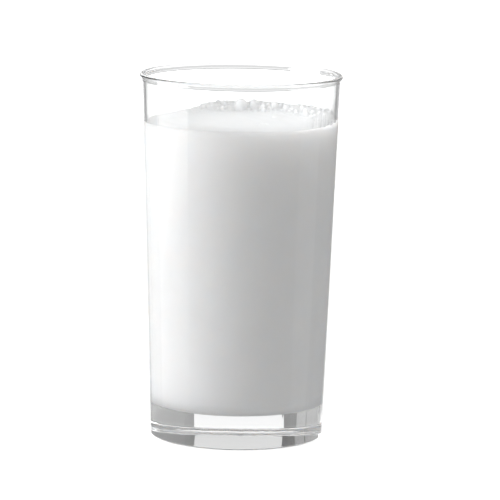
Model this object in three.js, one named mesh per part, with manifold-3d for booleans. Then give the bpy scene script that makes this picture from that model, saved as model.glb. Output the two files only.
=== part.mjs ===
// A glass of ayran: a clear, slightly tapered tumbler with a thick solid base, filled with a
// white yoghurt drink. Foam stands in a low collar along one side of the wall, with bubbles
// on it.
// Millimetres, +Z up. The origin is the centre of the underside, on the surface it stands on.
import * as THREE from 'three'
import { mergeVertices } from 'three/addons/utils/BufferGeometryUtils.js'
import Module from 'manifold-3d'

// Driving dimensions of the glass
const HEIGHT = 120
const TOP_RADIUS = 32.8 // outside of the wall, carried up to the rim's height
const FOOT_RADIUS = 28.2 // outside of the wall, carried down to the underside
const TOP_WALL = 1.5
const FOOT_WALL = 2.0
const FLOOR = 11.4 // solid glass under the drink
const HEEL_WIDTH = 5.0 // the rounded outer edge of the underside, measured along it
const HEEL_HEIGHT = 1.4 // and up the wall
const CORNER_RADIUS = 4.0 // inside, where the wall meets the floor
const BEAD_HEIGHT = 1.6 // the rim's rounded bead
const BEAD_PROUD = 0.35 // how far the bead stands out from the wall

// Driving dimensions of the drink
const FILL_LEVEL = 104.5
const CLEARANCE = 0.3 // between the drink and the glass
const FOAM_HEIGHT = 2.3
const FOAM_WIDTH = 6.0
const FOAM_START = -25 // degrees round from +X, where the collar begins
const FOAM_END = 135 // and where it ends
const FOAM_FADE = 35 // degrees over which its height falls away at both ends
const FOAM_SHOULDER = 0.15 // the share of its width that keeps its full height, at the wall
const FOAM_WAVES = [{ count: 11, depth: 0.08, turn: 0 }, { count: 23, depth: 0.06, turn: 40 }]

// The larger bubbles: degrees round from +X, distance in from the wall, diameter
const LARGE_BUBBLES = [
  { angle: 117, inset: 2.0, diameter: 2.2 },
  { angle: 102, inset: 2.2, diameter: 2.0 },
  { angle: 90, inset: 3.2, diameter: 4.6 },
  { angle: 81, inset: 2.8, diameter: 3.0 },
  { angle: 74, inset: 3.4, diameter: 1.8 },
  { angle: 66, inset: 2.8, diameter: 2.4 },
  { angle: 57, inset: 2.8, diameter: 2.4 },
  { angle: 43, inset: 2.6, diameter: 1.8 },
]

// The smaller bubbles, scattered along the collar between these bounds
const SMALL_BUBBLES = 20
const SMALL_ANGLES = [2, 124]
const SMALL_INSETS = [1.2, 4.6]
const SMALL_DIAMETERS = [1.2, 1.9]
const BUBBLE_LIFT = 1 / 3 // how far a bubble's middle stands above the foam, in radii

// How finely the round shapes are cut
const SEGMENTS = 96
const ARC_STEPS = 5
const BEAD_STEPS = 7
const SURFACE_STEPS = 12
const SURFACE_CROWDING = 1.6 // above 1 the surface's steps crowd towards the wall, where the foam is
const BUBBLE_SIDES = 12
const BUBBLE_RINGS = 8

const clearGlass = new THREE.MeshStandardMaterial({
  color: 0xe9efee, roughness: 0.03, metalness: 0, transparent: true, opacity: 0.35,
})
const whiteDrink = new THREE.MeshStandardMaterial({ color: 0xf6f5f2, roughness: 0.35, metalness: 0 })

const degrees = (angle) => THREE.MathUtils.degToRad(angle)
const outerRadius = (z) => THREE.MathUtils.lerp(FOOT_RADIUS, TOP_RADIUS, z / HEIGHT)
const wallThickness = (z) => THREE.MathUtils.lerp(FOOT_WALL, TOP_WALL, z / HEIGHT)
const innerRadius = (z) => outerRadius(z) - wallThickness(z)

// Points on an arc round (x, y), from one angle to another, both ends included
function arc(x, y, radiusX, radiusY, from, to, steps) {
  const points = []
  for (let i = 0; i <= steps; i++) {
    const angle = degrees(from + ((to - from) * i) / steps)
    points.push(new THREE.Vector2(x + radiusX * Math.cos(angle), y + radiusY * Math.sin(angle)))
  }
  return points
}

// A profile of radius and height, turned round the Z axis
function turned(profile) {
  const geometry = new THREE.LatheGeometry(profile, SEGMENTS)
  geometry.rotateX(Math.PI / 2)
  return geometry
}

function glassGeometry() {
  const beadMiddle = HEIGHT - BEAD_HEIGHT / 2
  const beadOuter = outerRadius(beadMiddle) + BEAD_PROUD
  const beadInner = innerRadius(beadMiddle)
  const beadCentre = (beadOuter + beadInner) / 2
  const beadHalfWidth = (beadOuter - beadInner) / 2
  const wallStart = FLOOR + CORNER_RADIUS
  const heelX = outerRadius(HEEL_HEIGHT) - HEEL_WIDTH
  const cornerX = innerRadius(wallStart) - CORNER_RADIUS
  return turned([
    new THREE.Vector2(0, 0),
    ...arc(heelX, HEEL_HEIGHT, HEEL_WIDTH, HEEL_HEIGHT, -90, 0, ARC_STEPS),
    new THREE.Vector2(outerRadius(HEIGHT - BEAD_HEIGHT), HEIGHT - BEAD_HEIGHT),
    ...arc(beadCentre, beadMiddle, beadHalfWidth, BEAD_HEIGHT / 2, -30, 180, BEAD_STEPS),
    ...arc(cornerX, wallStart, CORNER_RADIUS, CORNER_RADIUS, 0, -90, ARC_STEPS),
    new THREE.Vector2(0, FLOOR),
  ])
}

// The foam's height above the drink at a place inside the glass
function foamHeight(x, y) {
  const angle = THREE.MathUtils.radToDeg(Math.atan2(y, x))
  const fromWall = innerRadius(FILL_LEVEL) - CLEARANCE - Math.hypot(x, y)
  const along = THREE.MathUtils.smoothstep(angle, FOAM_START, FOAM_START + FOAM_FADE)
    * (1 - THREE.MathUtils.smoothstep(angle, FOAM_END - FOAM_FADE, FOAM_END))
  let waves = 1
  for (const { count, depth, turn } of FOAM_WAVES) waves += depth * Math.sin(degrees(angle * count + turn))
  const width = FOAM_WIDTH * waves
  const across = 1 - THREE.MathUtils.smoothstep(fromWall, FOAM_SHOULDER * width, width)
  return FOAM_HEIGHT * along * waves * across
}

// The body of the drink, with its top lifted where the foam stands
function drinkGeometry() {
  const bottom = FLOOR + CLEARANCE
  const corner = bottom + CORNER_RADIUS
  const cornerRadius = innerRadius(corner) - CLEARANCE
  const topRadius = innerRadius(FILL_LEVEL) - CLEARANCE
  const profile = [
    new THREE.Vector2(0, bottom),
    ...arc(cornerRadius - CORNER_RADIUS, corner, CORNER_RADIUS, CORNER_RADIUS, -90, 0, ARC_STEPS),
  ]
  for (let i = 0; i <= SURFACE_STEPS; i++) {
    const share = Math.pow(i / SURFACE_STEPS, SURFACE_CROWDING)
    profile.push(new THREE.Vector2(topRadius * (1 - share), FILL_LEVEL))
  }
  const geometry = turned(profile)
  const position = geometry.attributes.position
  for (let i = 0; i < position.count; i++) {
    if (position.getZ(i) > FILL_LEVEL - 0.01) {
      position.setZ(i, FILL_LEVEL + foamHeight(position.getX(i), position.getY(i)))
    }
  }
  return geometry
}

// A bubble: a ball sunk in the foam under it
function bubbleGeometry({ angle, inset, diameter }) {
  const radius = diameter / 2
  const distance = innerRadius(FILL_LEVEL) - inset
  const x = distance * Math.cos(degrees(angle))
  const y = distance * Math.sin(degrees(angle))
  const geometry = new THREE.SphereGeometry(radius, BUBBLE_SIDES, BUBBLE_RINGS)
  geometry.translate(x, y, FILL_LEVEL + foamHeight(x, y) + radius * BUBBLE_LIFT)
  return geometry
}

// A point between two bounds that jumps about evenly as its number goes up
const scattered = ([low, high], number, stride) => THREE.MathUtils.lerp(low, high, (number * stride) % 1)

function smallBubbles() {
  const bubbles = []
  for (let i = 1; i <= SMALL_BUBBLES; i++) {
    bubbles.push({
      angle: scattered(SMALL_ANGLES, i, 0.618),
      inset: scattered(SMALL_INSETS, i, 0.755),
      diameter: scattered(SMALL_DIAMETERS, i, 0.57),
    })
  }
  return bubbles
}

const wasm = await Module()
wasm.setup()

// A closed mesh as a solid that can be joined
function solidOf(geometry) {
  geometry.deleteAttribute('normal')
  geometry.deleteAttribute('uv')
  const merged = mergeVertices(geometry, 1e-3)
  const index = Array.from(merged.index.array)
  const kept = []
  for (let i = 0; i < index.length; i += 3) {
    const [a, b, c] = index.slice(i, i + 3)
    if (a !== b && b !== c && c !== a) kept.push(a, b, c)
  }
  return new wasm.Manifold(new wasm.Mesh({
    numProp: 3,
    vertProperties: new Float32Array(merged.attributes.position.array),
    triVerts: new Uint32Array(kept),
  }))
}

function geometryOf(solid) {
  const mesh = solid.getMesh()
  const geometry = new THREE.BufferGeometry()
  geometry.setAttribute('position', new THREE.BufferAttribute(mesh.vertProperties, 3))
  geometry.setIndex(new THREE.BufferAttribute(mesh.triVerts, 1))
  geometry.computeVertexNormals()
  return geometry
}

function foamyDrink() {
  let drink = solidOf(drinkGeometry())
  for (const bubble of [...LARGE_BUBBLES, ...smallBubbles()]) {
    drink = drink.add(solidOf(bubbleGeometry(bubble)))
  }
  return geometryOf(drink)
}

const glass = new THREE.Mesh(glassGeometry(), clearGlass)
glass.name = 'glass'

const ayran = new THREE.Mesh(foamyDrink(), whiteDrink)
ayran.name = 'ayran'

const group = new THREE.Group()
group.add(glass, ayran)
export default group
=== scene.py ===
"""A glass of ayran, dressed round its solids. Metres, +Z up, origin at the centre of the underside."""

import math
import random

import bpy
import numpy as np
from mathutils import Matrix, Vector


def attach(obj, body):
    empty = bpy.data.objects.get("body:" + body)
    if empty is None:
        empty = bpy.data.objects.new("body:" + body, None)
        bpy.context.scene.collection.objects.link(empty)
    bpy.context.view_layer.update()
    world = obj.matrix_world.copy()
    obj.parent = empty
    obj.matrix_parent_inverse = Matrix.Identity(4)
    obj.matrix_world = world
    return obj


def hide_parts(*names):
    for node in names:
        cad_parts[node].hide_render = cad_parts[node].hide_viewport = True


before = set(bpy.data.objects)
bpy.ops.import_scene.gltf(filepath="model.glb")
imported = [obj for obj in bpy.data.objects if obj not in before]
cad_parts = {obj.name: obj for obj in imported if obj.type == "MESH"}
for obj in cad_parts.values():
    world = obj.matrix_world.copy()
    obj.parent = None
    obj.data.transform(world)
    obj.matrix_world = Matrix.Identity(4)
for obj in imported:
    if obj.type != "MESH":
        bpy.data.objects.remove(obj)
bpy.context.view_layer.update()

MM = 0.001

# The glass, as in the part's source
HEIGHT = 120 * MM
TOP_RADIUS = 32.8 * MM
FOOT_RADIUS = 28.2 * MM
TOP_WALL = 1.5 * MM
FOOT_WALL = 2.0 * MM
FLOOR = 11.4 * MM
HEEL_WIDTH = 5.0 * MM
HEEL_HEIGHT = 1.4 * MM
CORNER_RADIUS = 4.0 * MM
BEAD_HEIGHT = 1.6 * MM
BEAD_PROUD = 0.35 * MM

# The drink and its collar of foam, as in the part's source, with angles in degrees round from +X
FILL_LEVEL = 104.5 * MM
FOAM_HEIGHT = 2.3 * MM
FOAM_WIDTH = 6.0 * MM
FOAM_START = -25
FOAM_END = 135
FOAM_FADE = 35
FOAM_SHOULDER = 0.15
FOAM_WAVES = ((11, 0.08, 0), (23, 0.06, 40))  # waves in a turn, depth, degrees of shift

# The larger bubbles, as in the part's source: degrees round from +X, distance in from the wall, diameter
LARGE_BUBBLES = (
    (117, 2.0 * MM, 2.2 * MM),
    (102, 2.2 * MM, 2.0 * MM),
    (90, 3.2 * MM, 4.6 * MM),
    (81, 2.8 * MM, 3.0 * MM),
    (74, 3.4 * MM, 1.8 * MM),
    (66, 2.8 * MM, 2.4 * MM),
    (57, 2.8 * MM, 2.4 * MM),
    (43, 2.6 * MM, 1.8 * MM),
)
BUBBLE_LIFT = 1 / 3

# Bubbles on their own, out on the surface: across, along, radius
LONE_BUBBLES = (
    (11.0 * MM, 10.5 * MM, 0.6 * MM),
    (8.6 * MM, -7.8 * MM, 0.55 * MM),
    (5.8 * MM, -9.0 * MM, 0.5 * MM),
    (6.9 * MM, -6.6 * MM, 0.4 * MM),
)

# The small bubbles, drawn at random round the larger ones
SMALL_BUBBLES = 70
SMALL_SEED = 23
SMALL_ANGLES = (-12, 128, 72)  # lowest, highest and commonest, in degrees
SMALL_LEAST = 0.4  # the least radius in millimetres
SMALL_SPREAD = 0.55  # and how much larger it can be
SMALL_REACH = 4.2 * MM
SMALL_LIFT = 0.3
BUBBLE_SPACING = 0.95  # the least distance between two bubbles, in sums of their radii
NO_BUBBLE = -1.0  # a height far below the drink

# The froth, as fine bubbles that run into each other
FROTH_BUBBLES = 900
FROTH_SEED = 11
FROTH_RADII = (0.35 * MM, 0.85 * MM)
FROTH_REACH = 1.2  # in widths of the foam
FROTH_CROWDING = 1.4  # above 1 the froth crowds towards the wall
FROTH_LIFT = 0.45

# The drink at the wall, and the low ripples on it
INTO_WALL = 0.15 * MM  # how far the drink reaches into the wall, so that no air gap shows
MENISCUS_HEIGHT = 0.15 * MM
MENISCUS_WIDTH = 0.5 * MM
SWIRL_HEIGHT = 0.04 * MM
SWIRL_MIDDLE = (-4 * MM, 2 * MM)
SWIRL_PITCH = 5.5 * MM
SWIRL_SWAY = 0.5
SWIRL_SHIFT = 0.6
SWIRL_FADE = 6 * MM

# The drink that has crept up the wall at the right, with angles in degrees round from +X
CREEP_HEIGHT = 0.6 * MM
CREEP_WIDTH = 0.45 * MM
CREEP_RISE = (-60, -25)
CREEP_FALL = (15, 50)
CREEP_SEED = 5
CREEP_LEVEL = 0.7
CREEP_COUNTS = (31, 47, 71, 103)
CREEP_DEPTH = 0.12

# The film that the drink left on the wall at the front right
SMEAR_BELOW = 1 * MM
SMEAR_HEIGHT = 7.5 * MM
SMEAR_START = -62
SMEAR_END = 30
SMEAR_INSETS = (0.02 * MM, 0.10 * MM)
SMEAR_STEPS = 90
SMEAR_ROWS = 10

# The drop above it
DROP_ANGLE = -53
DROP_HEIGHT = 117.3 * MM
DROP_INSET = 0.1 * MM
DROP_RADII = (0.25 * MM, 0.5 * MM, 0.32 * MM)
DROP_SIDES = 24
DROP_RINGS = 14

# Faint upright waves in the outer face of the glass
WAVE_SEED = 3
WAVE_COUNTS = (17, 29, 43, 61, 83)
WAVE_DEPTH = 0.05 * MM
WAVE_LEAN = 60  # the most that a wave turns in a metre of height, in radians
WAVE_SKIN = 0.2 * MM
WAVE_RISE = 2 * MM
WAVE_FALL = (14 * MM, 40 * MM)
RANDOM_TURN = 6.28  # radians, a full turn to the nearest hundredth

# How finely the glass is cut
GLASS_SEGMENTS = 480
UNDERSIDE_STEPS = 8
HEEL_STEPS = 20
WALL_ROWS = 12
WALL_FIRST_ROW = 6 * MM
BEAD_GAP = 0.6 * MM
BEAD_START = -35  # degrees, where the bead leaves the outside of the wall
BEAD_STEPS = 20
CORNER_GAP = 1 * MM
CORNER_STEPS = 16
FLOOR_RINGS = (0.5, 0.9)  # in radii of the flat floor

# How finely the drink is cut
DRINK_SEGMENTS = 840
DRINK_CORNER_STEPS = 14
DRINK_ROWS = 14
DRINK_CORNER_GAP = 2 * MM
DRINK_LEVEL_GAP = 1 * MM
EDGE_BAND = 7.0 * MM  # the outer part of the surface, with the foam on it
EDGE_RINGS = 34
MIDDLE_INSET = 7.5 * MM
MIDDLE_RINGS = 34
TOP_MARGIN = 0.01 * MM  # points above the level less this are the drink's top
SURFACE_MARGIN = 0.5 * MM  # and faces wholly above the level less this have the surface's material

# Noises: scale, detail, the stretch of its range that is used, and what that stretch becomes
GLASS_POLISH = (180.0, 3.0, (0.45, 0.75), (0.0, 0.02))
SMEAR_STREAKS = (1.0, 3.0, (0.35, 0.65), (0.1, 0.36))
DROP_PATCHES = (1500.0, 2.0, (0.3, 0.7), (-0.03, 0.03))
DRINK_MOTTLE = (110.0, 4.0, (0.3, 0.7), (-0.012, 0.012))
DRINK_GLOSS = (260.0, 3.0, (0.3, 0.7), (0.28, 0.42))

# Bumps: scale and detail of the noise, depth, strength
GLASS_BUMP = (90.0, 1.0, 0.02 * MM, 0.3)
DRINK_BUMP = (900.0, 2.0, 0.05 * MM, 0.15)

# The glass's material
GLASS_TINT = (0.985, 0.99, 0.99, 1)
GLASS_IOR = 1.5

# The drink's materials
BODY_WHITE = 0.93
PAINTED_TOP_WHITE = 0.985  # of the body near its top: painted light, standing in for light from above that comes out through its front
PAINTED_TOP_DEPTHS = (12 * MM, 2 * MM)  # below the level, where the body starts and ends turning so white
# painted shade: the top surface has a darker white than the body, which offsets the strong light from above
SURFACE_PAINTED_SHADE_WHITE = 0.8
SURFACE_SPECULAR = 0.5
DRINK_TINT = (0.995, 1.0, 1.005)
DRINK_DEPTH = 12.0 * MM  # how far light goes in
DRINK_DEPTH_TINT = (1.0, 0.95, 0.9)
# painted shade: the froth is darkened, most of all at its right, where the soft box at the left lights its
# slopes
FROTH_PAINTED_SHADE = 0.13
FROTH_PAINTED_SHADE_HEIGHTS = (0.1 * MM, 1.0 * MM)
FROTH_PAINTED_SHADE_ACROSS = (2 * MM, 20 * MM)
FROTH_PAINTED_SHADE_LEFT = 0.2  # the share of it that the left has

# The bubbles and the drop: painted light and shade, white where they are seen square on, which for the
# bubbles stands in for the bright light seen through them, and painted grey shade at their outline
PAINTED_LIGHT_WHITE = 0.985
PAINTED_OUTLINE_GREY = 0.6
EVEN_BLEND = 0.5
BUBBLE_PAINTED_OUTLINE = (0.45, 0.85)
DROP_PAINTED_OUTLINE = (0.5, 0.85)
DROP_ROUGHNESS = 0.12
DROP_IOR = 1.33
DROP_DEPTH = 4.0 * MM
DROP_DEPTH_TINT = (1.0, 0.97, 0.94)

# The film's material
SMEAR_WHITE = 0.88
SMEAR_ROUGHNESS = 0.3
SMEAR_STRETCH = (1400.0, 1400.0, 160.0)
SMEAR_ACROSS = (18 * MM, 27 * MM)

# The camera, fitted to the photograph's outline of the glass
CAMERA_DISTANCE = 1.377
CAMERA_HEIGHT = 0.278
CAMERA_SIDE = 3.7 * MM
CAMERA_PITCH = 8.92
CAMERA_ROLL = 0.894
CAMERA_LENS = 306.2
CAMERA_SENSOR = 36.0
CAMERA_CLIP = (0.05, 50)

# The floor, as the glass sees it and as the camera sees it
STAGE_SIZE = 6.0
STAGE_DROP = 0.05 * MM
FLOOR_GREY = 0.08
FLOOR_ROUGHNESS = 0.9
FLOOR_MIRROR = 1.1
MIRROR_ROUGHNESS = 0.04
FLOOR_PALE = 0.35
FLOOR_GLOW = 0.9

# The bright patch of floor behind the glass, and the faint one under it
PATCH_MIDDLE = (-0.03, 0.75, 0.0)
PATCH_RADIUS = 0.5
PATCH_CORE = 0.6  # the share of its radius that has its full glow
PATCH_SQUEEZE = (1.5, 1.0, 1.0)
FLOOR_FAR = 0.5
NEAR_RADIUS = 0.044
NEAR_CORE = 0.85
FLOOR_NEAR = 0.06

# The walls of the studio
WORLD_ROUND = 0.245
WORLD_LEFT = 0.2
WORLD_RIGHT = 0.05
WORLD_ABOVE = 0.86
WORLD_ABOVE_FROM = (0.3, 0.7)
WORLD_SEEN = 0.9

# The upright panels behind the glass. A flag has a name, its two edges across, how far away it is, its glow
PANEL_LOW = 0.03
PANEL_HIGH = 1.5
BACKDROP_ACROSS = (-0.685, 0.565)
BACKDROP_AWAY = 1.6
BACKDROP_LOW = 0.96
BACKDROP_HIGH = 0.745
BACKDROP_FADE = (0.12, 0.28)
FLAGS = (
    ("flag_left", (-1.0, -0.69), 1.61, 0.16),
    ("flag_right", (0.57, 0.78), 1.61, 0.24),
    ("pole", (-1.45, -1.40), 1.62, 0.1),
)

# The soft box at the camera's left, and the dimmer panel behind it that mirrors see in its place
KEY = 5.8
KEY_PLACE = (-0.7, -0.03, 0.48)
KEY_AIM = (0, -0.03, 0.48)
KEY_SIZE = (0.65, 0.9)
KEY_MIRRORED = 1.4
KEY_MIRRORED_HIGH = 0.7
MIRRORED_ACROSS = -0.71
MIRRORED_ALONG = (-0.355, 0.295)
MIRRORED_HEIGHTS = (0.001, 0.931)
MIRRORED_FADE = (0.062, 0.085)

# The fill light at the right
FILL = 0.3
FILL_PLACE = (0.9, 0.0, 0.5)
FILL_AIM = (0, 0, 0.06)
FILL_SIZE = (0.6, 0.9)

LONGEST_PATH = 12


def mix(a, b, share):
    return a + (b - a) * share


def smoothstep(value, low, high):
    share = np.clip((value - low) / (high - low), 0.0, 1.0)
    return share * share * (3.0 - 2.0 * share)


def outer_radius(z):
    return mix(FOOT_RADIUS, TOP_RADIUS, z / HEIGHT)


def inner_radius(z):
    return outer_radius(z) - mix(FOOT_WALL, TOP_WALL, z / HEIGHT)


def arc(x, y, radius_x, radius_y, start, end, steps):
    """Points round (x, y), from one angle to another, both ends included."""
    angles = [math.radians(mix(start, end, i / steps)) for i in range(steps + 1)]
    return [(x + radius_x * math.cos(a), y + radius_y * math.sin(a)) for a in angles]


def new_mesh(name, vertices, faces):
    mesh = bpy.data.meshes.new(name)
    mesh.from_pydata([tuple(v) for v in vertices], [], faces)
    mesh.validate()
    mesh.shade_smooth()
    piece = bpy.data.objects.new(name, mesh)
    bpy.context.scene.collection.objects.link(piece)
    return piece


def turned(profile, segments):
    """Vertices and faces of a profile of (radius, height), turned round Z. It starts and ends on the axis."""
    vertices = [(0.0, 0.0, profile[0][1])]
    rings = []
    for radius, height in profile[1:-1]:
        rings.append(len(vertices))
        for s in range(segments):
            angle = 2 * math.pi * s / segments
            vertices.append((radius * math.cos(angle), radius * math.sin(angle), height))
    last = len(vertices)
    vertices.append((0.0, 0.0, profile[-1][1]))
    faces = []
    for s in range(segments):
        t = (s + 1) % segments
        faces.append((0, rings[0] + t, rings[0] + s))
        for a, b in zip(rings, rings[1:]):
            faces.append((a + s, a + t, b + t, b + s))
        faces.append((rings[-1] + s, rings[-1] + t, last))
    return vertices, faces


def uneven(vertices):
    """Faint upright waves in the outer face of the glass, which fade out over its lowest third."""
    points = np.array(vertices)
    draw = random.Random(WAVE_SEED)
    distance = np.hypot(points[:, 0], points[:, 1])
    angle = np.arctan2(points[:, 1], points[:, 0])
    height = points[:, 2]
    waves = np.zeros(len(points))
    for count in WAVE_COUNTS:
        turn = draw.uniform(0, RANDOM_TURN)
        lean = draw.uniform(-WAVE_LEAN, WAVE_LEAN)
        waves += np.sin(count * angle + turn + lean * height) / len(WAVE_COUNTS)
    outside = smoothstep(distance, inner_radius(height) + WAVE_SKIN, outer_radius(height) - WAVE_SKIN)
    above_heel = smoothstep(height, HEEL_HEIGHT, HEEL_HEIGHT + WAVE_RISE)
    upright = above_heel * (1 - smoothstep(height, *WAVE_FALL))
    share = 1 + WAVE_DEPTH * waves * outside * upright / np.maximum(distance, MM)
    points[:, 0] *= share
    points[:, 1] *= share
    return points


def glass_profile():
    """The glass as radius and height, from the middle of the underside to the middle of the floor inside."""
    bead_low = HEIGHT - BEAD_HEIGHT
    bead_middle = HEIGHT - BEAD_HEIGHT / 2
    bead_outer = outer_radius(bead_middle) + BEAD_PROUD
    bead_inner = inner_radius(bead_middle)
    bead_centre = (bead_outer + bead_inner) / 2
    bead_half = (bead_outer - bead_inner) / 2
    wall_start = FLOOR + CORNER_RADIUS
    heel_x = outer_radius(HEEL_HEIGHT) - HEEL_WIDTH
    corner_x = inner_radius(wall_start) - CORNER_RADIUS
    outside = np.linspace(WALL_FIRST_ROW, bead_low - BEAD_GAP, WALL_ROWS)
    inside = np.linspace(bead_low, wall_start + CORNER_GAP, WALL_ROWS)
    profile = [(heel_x * i / UNDERSIDE_STEPS, 0.0) for i in range(UNDERSIDE_STEPS)]
    profile += arc(heel_x, HEEL_HEIGHT, HEEL_WIDTH, HEEL_HEIGHT, -90, 0, HEEL_STEPS)
    profile += [(outer_radius(z), z) for z in outside]
    profile += [(outer_radius(bead_low), bead_low)]
    profile += arc(bead_centre, bead_middle, bead_half, BEAD_HEIGHT / 2, BEAD_START, 180, BEAD_STEPS)
    profile += [(inner_radius(z), z) for z in inside]
    profile += arc(corner_x, wall_start, CORNER_RADIUS, CORNER_RADIUS, 0, -90, CORNER_STEPS)
    profile += [(corner_x * share, FLOOR) for share in reversed(FLOOR_RINGS)]
    return profile + [(0.0, FLOOR)]


def make_glass():
    vertices, faces = turned(glass_profile(), GLASS_SEGMENTS)
    glass = new_mesh("tumbler", uneven(vertices), faces)
    glass.data.materials.append(clear_glass_material())
    return glass


def foam_height(x, y):
    """The foam's height above the drink, as in the part's source."""
    angle = np.degrees(np.arctan2(y, x))
    from_wall = inner_radius(FILL_LEVEL) - np.hypot(x, y)
    along = smoothstep(angle, FOAM_START, FOAM_START + FOAM_FADE)
    along = along * (1 - smoothstep(angle, FOAM_END - FOAM_FADE, FOAM_END))
    waves = 1.0
    for count, depth, shift in FOAM_WAVES:
        waves = waves + depth * np.sin(np.radians(angle * count + shift))
    width = FOAM_WIDTH * waves
    return FOAM_HEIGHT * along * waves * (1 - smoothstep(from_wall, FOAM_SHOULDER * width, width))


def froth_height(x, y):
    """Fine bubbles crowded over the foam, as low domes that run into each other."""
    draw = random.Random(FROTH_SEED)
    lift = np.zeros_like(x)
    for _ in range(FROTH_BUBBLES):
        angle = math.radians(draw.uniform(FOAM_START, FOAM_END))
        distance = inner_radius(FILL_LEVEL) - FROTH_REACH * FOAM_WIDTH * draw.random() ** FROTH_CROWDING
        radius = draw.uniform(*FROTH_RADII)
        across, along = distance * math.cos(angle), distance * math.sin(angle)
        square = (x - across) ** 2 + (y - along) ** 2
        lift = np.maximum(lift, FROTH_LIFT * np.sqrt(np.clip(radius * radius - square, 0, None)))
    return lift


def bubble_places():
    """Centre and radius of each bubble: the larger ones first, then small ones drawn round them."""
    places = []
    for angle, inset, diameter in LARGE_BUBBLES:
        distance = inner_radius(FILL_LEVEL) - inset
        x, y = distance * math.cos(math.radians(angle)), distance * math.sin(math.radians(angle))
        z = FILL_LEVEL + float(foam_height(x, y)) + BUBBLE_LIFT * diameter / 2
        places.append((Vector((x, y, z)), diameter / 2))
    for x, y, radius in LONE_BUBBLES:
        places.append((Vector((x, y, FILL_LEVEL)), radius))
    draw = random.Random(SMALL_SEED)
    wanted = len(places) + SMALL_BUBBLES
    while len(places) < wanted:
        angle = math.radians(draw.triangular(*SMALL_ANGLES))
        radius = (SMALL_LEAST + SMALL_SPREAD * draw.random() ** 2) * MM
        distance = inner_radius(FILL_LEVEL) - radius - SMALL_REACH * draw.random() ** 2
        x, y = distance * math.cos(angle), distance * math.sin(angle)
        place = Vector((x, y, FILL_LEVEL + float(foam_height(x, y)) + SMALL_LIFT * radius))
        if all((place - other).length > BUBBLE_SPACING * (radius + wide) for other, wide in places):
            places.append((place, radius))
    return places


def bubble_height(x, y):
    """The tops of the bubbles above the drink's level, and far below it where there is none."""
    height = np.full_like(x, NO_BUBBLE)
    for place, radius in bubble_places():
        square = (x - place.x) ** 2 + (y - place.y) ** 2
        on = square < radius * radius
        top = place.z - FILL_LEVEL + np.sqrt(np.clip(radius * radius - square, 0, None))
        height = np.where(on, np.maximum(height, top), height)
    return height


def swirl_height(x, y):
    """Long low ripples left by stirring, round the middle of the drink."""
    across, along = x - SWIRL_MIDDLE[0], y - SWIRL_MIDDLE[1]
    angle = np.arctan2(along, across)
    sway = SWIRL_SWAY * np.sin(angle * 2 + SWIRL_SHIFT)
    turns = np.hypot(across, along) / SWIRL_PITCH + sway + angle / (2 * math.pi)
    fade = smoothstep(inner_radius(FILL_LEVEL) - np.hypot(x, y), 0, SWIRL_FADE)
    return SWIRL_HEIGHT * fade * np.sin(2 * math.pi * turns)


def creep_height(angle):
    """How far the drink has crept up the wall, in streaks, at its right."""
    near = smoothstep(angle, *CREEP_RISE) * (1 - smoothstep(angle, *CREEP_FALL))
    streaks = np.full_like(angle, CREEP_LEVEL)
    draw = random.Random(CREEP_SEED)
    for count in CREEP_COUNTS:
        streaks += CREEP_DEPTH * np.sin(np.radians(count * angle) + draw.uniform(0, RANDOM_TURN))
    return CREEP_HEIGHT * near * streaks


def surface_height(x, y):
    """The drink's top above its level, everywhere inside the glass, without the bubbles."""
    from_wall = np.clip(inner_radius(FILL_LEVEL) - np.hypot(x, y), 0, None)
    angle = np.degrees(np.arctan2(y, x))
    meniscus = MENISCUS_HEIGHT * np.exp(-from_wall / MENISCUS_WIDTH)
    creep = creep_height(angle) * np.exp(-((from_wall / CREEP_WIDTH) ** 2))
    return foam_height(x, y) + froth_height(x, y) + swirl_height(x, y) + meniscus + creep


def drink_profile():
    """The drink as radius and height, with a level top, from the middle of its foot to the middle of it."""
    bottom = FLOOR - INTO_WALL
    wall_start = FLOOR + CORNER_RADIUS
    corner_x = inner_radius(wall_start) - CORNER_RADIUS
    reach = CORNER_RADIUS + INTO_WALL
    top = inner_radius(FILL_LEVEL) + INTO_WALL
    side = np.linspace(wall_start + DRINK_CORNER_GAP, FILL_LEVEL - DRINK_LEVEL_GAP, DRINK_ROWS)
    profile = [(0.0, bottom)]
    profile += [(corner_x * share, bottom) for share in FLOOR_RINGS]
    profile += arc(corner_x, wall_start, reach, reach, -90, 0, DRINK_CORNER_STEPS)
    profile += [(inner_radius(z) + INTO_WALL, z) for z in side]
    profile += [(top, FILL_LEVEL)]
    profile += [(top - inset, FILL_LEVEL) for inset in np.linspace(INTO_WALL, EDGE_BAND, EDGE_RINGS)]
    profile += [(radius, FILL_LEVEL) for radius in np.linspace(top - MIDDLE_INSET, 0, MIDDLE_RINGS)]
    return profile


def make_drink():
    vertices, faces = turned(drink_profile(), DRINK_SEGMENTS)
    points = np.array(vertices)
    on_top = points[:, 2] > FILL_LEVEL - TOP_MARGIN
    across, along = points[on_top, 0], points[on_top, 1]
    height, bubbles = surface_height(across, along), bubble_height(across, along)
    points[on_top, 2] += np.maximum(height, bubbles)
    drink = new_mesh("ayran_drink", points, faces)
    film = np.zeros(len(points), dtype=np.float32)
    film[on_top] = bubbles > height
    drink.data.attributes.new("film", "FLOAT", "POINT").data.foreach_set("value", film)
    body = drink_material("ayran_against_glass", 0.0, BODY_WHITE, PAINTED_TOP_WHITE)
    surface = drink_material("ayran_surface", SURFACE_SPECULAR, SURFACE_PAINTED_SHADE_WHITE, SURFACE_PAINTED_SHADE_WHITE)
    drink.data.materials.append(body)
    drink.data.materials.append(surface)
    for face in drink.data.polygons:
        if min(points[v, 2] for v in face.vertices) > FILL_LEVEL - SURFACE_MARGIN:
            face.material_index = 1
    return drink


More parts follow.
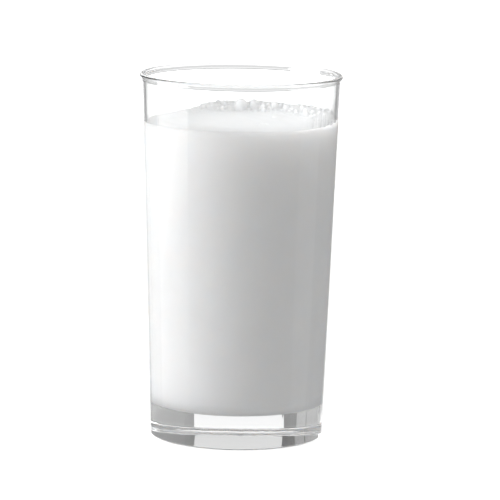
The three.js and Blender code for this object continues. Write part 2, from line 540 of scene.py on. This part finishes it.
def make_wall_film():
    """A thin streaky film that the drink left on the wall at its right."""
    steps, rows = SMEAR_STEPS, SMEAR_ROWS
    vertices, faces = [], []
    for inset in SMEAR_INSETS:
        for row in range(rows + 1):
            z = mix(FILL_LEVEL - SMEAR_BELOW, FILL_LEVEL + SMEAR_HEIGHT, row / rows)
            for step in range(steps + 1):
                angle = math.radians(mix(SMEAR_START, SMEAR_END, step / steps))
                distance = inner_radius(z) - inset
                vertices.append((distance * math.cos(angle), distance * math.sin(angle), z))
    side = (rows + 1) * (steps + 1)

    def corner(layer, row, step):
        return layer * side + row * (steps + 1) + step

    for row in range(rows):
        for step in range(steps):
            square = [(row, step), (row, step + 1), (row + 1, step + 1), (row + 1, step)]
            faces.append([corner(0, *place) for place in square])
            faces.append([corner(1, *place) for place in reversed(square)])
    border = [(0, step) for step in range(steps)] + [(row, steps) for row in range(rows)]
    border += [(rows, step) for step in range(steps, 0, -1)] + [(row, 0) for row in range(rows, 0, -1)]
    for here, there in zip(border, border[1:] + border[:1]):
        faces.append([corner(0, *there), corner(0, *here), corner(1, *here), corner(1, *there)])
    film = new_mesh("wall_film", vertices, faces)
    film.data.materials.append(smear_material())
    return film


def ball(sides, rings):
    """Vertices and faces of a ball of radius 1."""
    angles = [math.radians(a) for a in np.linspace(-90, 90, rings + 1)]
    vertices, faces = turned([(math.cos(a), math.sin(a)) for a in angles], sides)
    return np.array(vertices), faces


def make_droplet():
    """A drop left high on the inside of the wall."""
    vertices, faces = ball(DROP_SIDES, DROP_RINGS)
    angle = math.radians(DROP_ANGLE)
    distance = inner_radius(DROP_HEIGHT) - DROP_INSET
    points = vertices * np.array(DROP_RADII)
    across = points[:, 0] * math.cos(angle) - points[:, 1] * math.sin(angle) + distance * math.cos(angle)
    along = points[:, 0] * math.sin(angle) + points[:, 1] * math.cos(angle) + distance * math.sin(angle)
    drop = new_mesh("drop", np.stack([across, along, points[:, 2] + DROP_HEIGHT], axis=1), faces)
    drop.data.materials.append(drop_material())
    return drop


def grey(level):
    return (level, level, level, 1)


def node_tree(name):
    material = bpy.data.materials.new(name)
    material.use_nodes = True
    nodes, links = material.node_tree.nodes, material.node_tree.links
    return material, nodes, links, nodes["Principled BSDF"]


def object_place(nodes):
    return nodes.new("ShaderNodeTexCoord").outputs["Object"]


def axes(nodes, links, place):
    """X, Y and Z of a place."""
    node = nodes.new("ShaderNodeSeparateXYZ")
    links.new(place, node.inputs[0])
    return node.outputs


def scalar(nodes, links, operation, first, second):
    """A sum, product or difference. Either side may be a number."""
    node = nodes.new("ShaderNodeMath")
    node.operation = operation
    for socket, value in zip(node.inputs, (first, second)):
        if isinstance(value, (int, float)):
            socket.default_value = value
        else:
            links.new(value, socket)
    return node.outputs[0]


def shifted(nodes, links, operation, place, amounts):
    """A place with amounts along X, Y and Z taken off it or multiplied into it."""
    node = nodes.new("ShaderNodeVectorMath")
    node.operation = operation
    node.inputs[1].default_value = amounts
    links.new(place, node.inputs[0])
    return node.outputs[0]


def from_origin(nodes, links, place):
    """The distance of a place from the origin."""
    node = nodes.new("ShaderNodeVectorMath")
    node.operation = "LENGTH"
    links.new(place, node.inputs[0])
    return node.outputs["Value"]


def map_range(nodes, links, source, used, becomes):
    """The stretch of the source that is used, taken to another stretch and held beyond its ends."""
    node = nodes.new("ShaderNodeMapRange")
    for name, value in zip(("From Min", "From Max", "To Min", "To Max"), (*used, *becomes)):
        node.inputs[name].default_value = value
    links.new(source, node.inputs["Value"])
    return node.outputs[0]


def noise(nodes, links, place, scale, detail):
    node = nodes.new("ShaderNodeTexNoise")
    node.inputs["Scale"].default_value = scale
    node.inputs["Detail"].default_value = detail
    links.new(place, node.inputs["Vector"])
    return node.outputs[0]


def patchy(nodes, links, place, patches):
    """A noise, with the stretch of its range that is used taken to another."""
    scale, detail, used, becomes = patches
    return map_range(nodes, links, noise(nodes, links, place, scale, detail), used, becomes)


def bump(nodes, links, shader, place, bumps):
    scale, detail, depth, strength = bumps
    node = nodes.new("ShaderNodeBump")
    node.inputs["Distance"].default_value = depth
    node.inputs["Strength"].default_value = strength
    links.new(noise(nodes, links, place, scale, detail), node.inputs["Height"])
    links.new(node.outputs[0], shader.inputs["Normal"])


def painted_light_and_outline(nodes, links, outline):
    """Painted light and shade: white where the surface is seen square on, and grey shade towards its outline.
    """
    node = nodes.new("ShaderNodeLayerWeight")
    node.inputs["Blend"].default_value = EVEN_BLEND
    return map_range(nodes, links, node.outputs["Facing"], outline, (PAINTED_LIGHT_WHITE, PAINTED_OUTLINE_GREY))


def light_goes_in(shader, depth, tint):
    shader.inputs["Subsurface Weight"].default_value = 1.0
    shader.inputs["Subsurface Radius"].default_value = tint
    shader.inputs["Subsurface Scale"].default_value = depth


def clear_glass_material():
    """Clear glass with a trace of unevenness in its polish and its faces."""
    material, nodes, links, shader = node_tree("clear_glass")
    place = object_place(nodes)
    shader.inputs["Base Color"].default_value = GLASS_TINT
    shader.inputs["IOR"].default_value = GLASS_IOR
    shader.inputs["Transmission Weight"].default_value = 1.0
    links.new(patchy(nodes, links, place, GLASS_POLISH), shader.inputs["Roughness"])
    bump(nodes, links, shader, place, GLASS_BUMP)
    return material


def smear_material():
    """Watered-down drink in upright streaks that thin out upwards and towards the front."""
    material, nodes, links, shader = node_tree("wall_smear")
    shader.inputs["Base Color"].default_value = grey(SMEAR_WHITE)
    shader.inputs["Roughness"].default_value = SMEAR_ROUGHNESS
    place = object_place(nodes)
    across, _, up = axes(nodes, links, place)
    stretched = shifted(nodes, links, "MULTIPLY", place, SMEAR_STRETCH)
    streaks = patchy(nodes, links, stretched, SMEAR_STREAKS)
    thin = map_range(nodes, links, up, (FILL_LEVEL + SMEAR_HEIGHT, FILL_LEVEL), (0.0, 1.0))
    right = map_range(nodes, links, across, SMEAR_ACROSS, (0.0, 1.0))
    upright = scalar(nodes, links, "MULTIPLY", streaks, thin)
    links.new(scalar(nodes, links, "MULTIPLY", upright, right), shader.inputs["Alpha"])
    return material


def drop_material():
    """A wet white film, bright where it is seen square on, with painted grey shade at its outline."""
    material, nodes, links, shader = node_tree("drop_film")
    outline = painted_light_and_outline(nodes, links, DROP_PAINTED_OUTLINE)
    thick = patchy(nodes, links, object_place(nodes), DROP_PATCHES)
    links.new(scalar(nodes, links, "ADD", outline, thick), shader.inputs["Base Color"])
    shader.inputs["Roughness"].default_value = DROP_ROUGHNESS
    shader.inputs["IOR"].default_value = DROP_IOR
    light_goes_in(shader, DROP_DEPTH, DROP_DEPTH_TINT)
    return material


def white_with_painted_light_and_shade(nodes, links, place, white, lit_top_white):
    """The drink's white, with painted light that whitens the body towards its top and painted shade that
    greys the froth, most of all at its right.
    """
    across, _, up = axes(nodes, links, place)
    painted_light_heights = [FILL_LEVEL - depth for depth in PAINTED_TOP_DEPTHS]
    froth_shade_heights = [FILL_LEVEL + height for height in FROTH_PAINTED_SHADE_HEIGHTS]
    # painted light: the body's white rises towards its top
    body = map_range(nodes, links, up, painted_light_heights, (white, lit_top_white))
    mottled = scalar(nodes, links, "ADD", body, patchy(nodes, links, place, DRINK_MOTTLE))
    # painted shade on the froth, strongest at its right
    froth = map_range(nodes, links, up, froth_shade_heights, (0.0, FROTH_PAINTED_SHADE))
    right = map_range(nodes, links, across, FROTH_PAINTED_SHADE_ACROSS, (FROTH_PAINTED_SHADE_LEFT, 1.0))
    return scalar(nodes, links, "SUBTRACT", mottled, scalar(nodes, links, "MULTIPLY", froth, right))


def drink_material(name, specular, white, lit_top_white):
    """A thick white liquid, faintly mottled, with painted light and shade. The mesh's film values pick out
    the bubbles on it, which get painted light where seen square on and painted shade at their outline.
    """
    material, nodes, links, shader = node_tree(name)
    place = object_place(nodes)
    film = nodes.new("ShaderNodeAttribute")
    film.attribute_name = "film"
    shown = nodes.new("ShaderNodeMix")
    links.new(film.outputs["Fac"], shown.inputs["Factor"])
    links.new(white_with_painted_light_and_shade(nodes, links, place, white, lit_top_white), shown.inputs["A"])
    links.new(painted_light_and_outline(nodes, links, BUBBLE_PAINTED_OUTLINE), shown.inputs["B"])
    colour = nodes.new("ShaderNodeCombineColor")
    for channel, tint in zip(("Red", "Green", "Blue"), DRINK_TINT):
        links.new(scalar(nodes, links, "MULTIPLY", shown.outputs["Result"], tint), colour.inputs[channel])
    links.new(colour.outputs[0], shader.inputs["Base Color"])
    links.new(patchy(nodes, links, place, DRINK_GLOSS), shader.inputs["Roughness"])
    shader.inputs["Specular IOR Level"].default_value = specular
    light_goes_in(shader, DRINK_DEPTH, DRINK_DEPTH_TINT)
    bump(nodes, links, shader, place, DRINK_BUMP)
    return material


def make_camera():
    data = bpy.data.cameras.new("camera")
    data.sensor_width = CAMERA_SENSOR
    data.lens = CAMERA_LENS
    data.clip_start, data.clip_end = CAMERA_CLIP
    camera = bpy.data.objects.new("camera", data)
    bpy.context.scene.collection.objects.link(camera)
    pitch = Matrix.Rotation(math.radians(90 - CAMERA_PITCH), 4, "X")
    turn = pitch @ Matrix.Rotation(math.radians(CAMERA_ROLL), 4, "Z")
    camera.matrix_world = Matrix.Translation((CAMERA_SIDE, -CAMERA_DISTANCE, CAMERA_HEIGHT)) @ turn
    bpy.context.scene.camera = camera


def area_light(name, place, aim, size, radiance):
    """A soft box. Its power is worked out from the brightness that its face shows."""
    width, height = size
    data = bpy.data.lights.new(name, "AREA")
    data.shape = "RECTANGLE"
    data.size, data.size_y = width, height
    data.energy = radiance * math.pi * width * height
    light = bpy.data.objects.new(name, data)
    light.location = place
    light.rotation_mode = "QUATERNION"
    light.rotation_quaternion = (Vector(aim) - Vector(place)).to_track_quat("-Z", "Y")
    bpy.context.scene.collection.objects.link(light)
    return light


def glow(nodes, links, strength):
    """Light given off. Its strength may be a number."""
    node = nodes.new("ShaderNodeEmission")
    if isinstance(strength, (int, float)):
        node.inputs["Strength"].default_value = strength
    else:
        links.new(strength, node.inputs["Strength"])
    return node.outputs[0]


def both(nodes, links, first, second):
    """The light of two shaders added up."""
    node = nodes.new("ShaderNodeAddShader")
    links.new(first, node.inputs[0])
    links.new(second, node.inputs[1])
    return node.outputs[0]


def floor_patches(nodes, links):
    """How brightly the floor glows as the glass sees it: behind the glass, and faintly under it."""
    place = object_place(nodes)
    shift = shifted(nodes, links, "SUBTRACT", place, PATCH_MIDDLE)
    away = from_origin(nodes, links, shifted(nodes, links, "MULTIPLY", shift, PATCH_SQUEEZE))
    far = map_range(nodes, links, away, (PATCH_RADIUS, PATCH_CORE * PATCH_RADIUS), (0.0, FLOOR_FAR))
    centre = from_origin(nodes, links, place)
    near = map_range(nodes, links, centre, (NEAR_RADIUS, NEAR_CORE * NEAR_RADIUS), (0.0, FLOOR_NEAR))
    return scalar(nodes, links, "ADD", far, near)


def floor_for_glass(nodes, links, shader):
    """A dark glossy floor with bright patches."""
    shader.inputs["Base Color"].default_value = grey(FLOOR_GREY)
    shader.inputs["Roughness"].default_value = FLOOR_ROUGHNESS
    shader.inputs["Specular IOR Level"].default_value = 0.0
    glossy = nodes.new("ShaderNodeBsdfGlossy")
    glossy.inputs["Color"].default_value = grey(FLOOR_MIRROR)
    glossy.inputs["Roughness"].default_value = MIRROR_ROUGHNESS
    dark = both(nodes, links, shader.outputs[0], glossy.outputs[0])
    return both(nodes, links, dark, glow(nodes, links, floor_patches(nodes, links)))


def floor_for_camera(nodes, links):
    """A pale floor."""
    pale = nodes.new("ShaderNodeBsdfDiffuse")
    pale.inputs["Color"].default_value = grey(FLOOR_PALE)
    return both(nodes, links, pale.outputs[0], glow(nodes, links, FLOOR_GLOW))


def make_floor():
    size = STAGE_SIZE
    corners = [(-size, -size, 0), (size, -size, 0), (size, size, 0), (-size, size, 0)]
    floor = new_mesh("floor", corners, [(0, 1, 2, 3)])
    floor.location.z = -STAGE_DROP
    material, nodes, links, shader = node_tree("floor")
    path = nodes.new("ShaderNodeLightPath")
    seen = nodes.new("ShaderNodeMixShader")
    links.new(path.outputs["Is Camera Ray"], seen.inputs[0])
    links.new(floor_for_glass(nodes, links, shader), seen.inputs[1])
    links.new(floor_for_camera(nodes, links), seen.inputs[2])
    links.new(seen.outputs[0], nodes["Material Output"].inputs["Surface"])
    floor.data.materials.append(material)


def make_world():
    """Grey walls all round, brighter to the sides and above."""
    world = bpy.data.worlds.new("studio")
    world.use_nodes = True
    nodes, links = world.node_tree.nodes, world.node_tree.links
    across, _, up = axes(nodes, links, nodes.new("ShaderNodeTexCoord").outputs["Generated"])
    above = map_range(nodes, links, up, WORLD_ABOVE_FROM, (WORLD_ROUND, WORLD_ROUND + WORLD_ABOVE))
    left = map_range(nodes, links, across, (0.0, -1.0), (0.0, WORLD_LEFT))
    right = map_range(nodes, links, across, (0.0, 1.0), (0.0, WORLD_RIGHT))
    sides = scalar(nodes, links, "ADD", left, right)
    path = nodes.new("ShaderNodeLightPath")
    seen = nodes.new("ShaderNodeMix")
    links.new(path.outputs["Is Camera Ray"], seen.inputs["Factor"])
    links.new(scalar(nodes, links, "ADD", sides, above), seen.inputs["A"])
    seen.inputs["B"].default_value = WORLD_SEEN
    links.new(seen.outputs["Result"], nodes["Background"].inputs["Strength"])
    nodes["Background"].inputs["Color"].default_value = grey(1)
    bpy.context.scene.world = world


def glowing_panel(name, corners, strength, high_strength=None, fade=None):
    """A panel that gives off light. A fade takes it to a second strength between two heights."""
    panel = new_mesh(name, corners, [(0, 1, 2, 3)])
    material, nodes, links, shader = node_tree(name)
    nodes.remove(shader)
    if fade:
        up = axes(nodes, links, object_place(nodes))["Z"]
        strength = map_range(nodes, links, up, fade, (strength, high_strength))
    links.new(glow(nodes, links, strength), nodes["Material Output"].inputs["Surface"])
    panel.data.materials.append(material)
    return panel


def behind_glass(across, away):
    """Corners of an upright panel behind the glass."""
    left, right = across
    top = [(left, away, PANEL_HIGH), (right, away, PANEL_HIGH)]
    return top + [(right, away, PANEL_LOW), (left, away, PANEL_LOW)]


def make_backdrop():
    """The white backdrop behind the glass, from 23 degrees left to 19 right, and brightest at its foot."""
    corners = behind_glass(BACKDROP_ACROSS, BACKDROP_AWAY)
    backdrop = glowing_panel("backdrop", corners, BACKDROP_LOW, BACKDROP_HIGH, BACKDROP_FADE)


def make_flag(name, across, away, strength):
    """A dim upright panel beside the backdrop, which shows as a dark strip in the base of the glass."""
    flag = glowing_panel(name, behind_glass(across, away), strength)


def make_mirrored_key():
    """A panel behind the soft box that only mirrors see, dimmer above than below."""
    near, far = MIRRORED_ALONG
    low, high = MIRRORED_HEIGHTS
    corners = [(MIRRORED_ACROSS, y, z) for y, z in ((near, low), (far, low), (far, high), (near, high))]
    panel = glowing_panel("key_mirrored", corners, KEY_MIRRORED, KEY_MIRRORED_HIGH, MIRRORED_FADE)
    panel.visible_camera = False
    panel.visible_diffuse = False
    panel.visible_transmission = False
    panel.visible_shadow = False


def make_studio():
    make_world()
    make_floor()
    make_backdrop()
    for name, across, away, strength in FLAGS:
        make_flag(name, across, away, strength)
    # the soft box stands from 63 to 113 degrees round from the camera
    key = area_light("key", KEY_PLACE, KEY_AIM, KEY_SIZE, KEY)
    key.visible_glossy = False
    make_mirrored_key()
    area_light("fill", FILL_PLACE, FILL_AIM, FILL_SIZE, FILL)


make_camera()
make_studio()
glass = make_glass()
drink = make_drink()
film = make_wall_film()
drop = make_droplet()
for piece, slot in ((glass, "clear_glass"), (drink, "ayran"), (film, "ayran"), (drop, "ayran")):
    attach(piece, "root")
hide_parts("glass")
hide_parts("ayran")

bpy.context.scene.view_settings.view_transform = "Standard"
# light runs a long way round inside the rim before it leaves the glass
cycles = bpy.context.scene.cycles
cycles.max_bounces = LONGEST_PATH
cycles.glossy_bounces = LONGEST_PATH
cycles.transmission_bounces = LONGEST_PATH
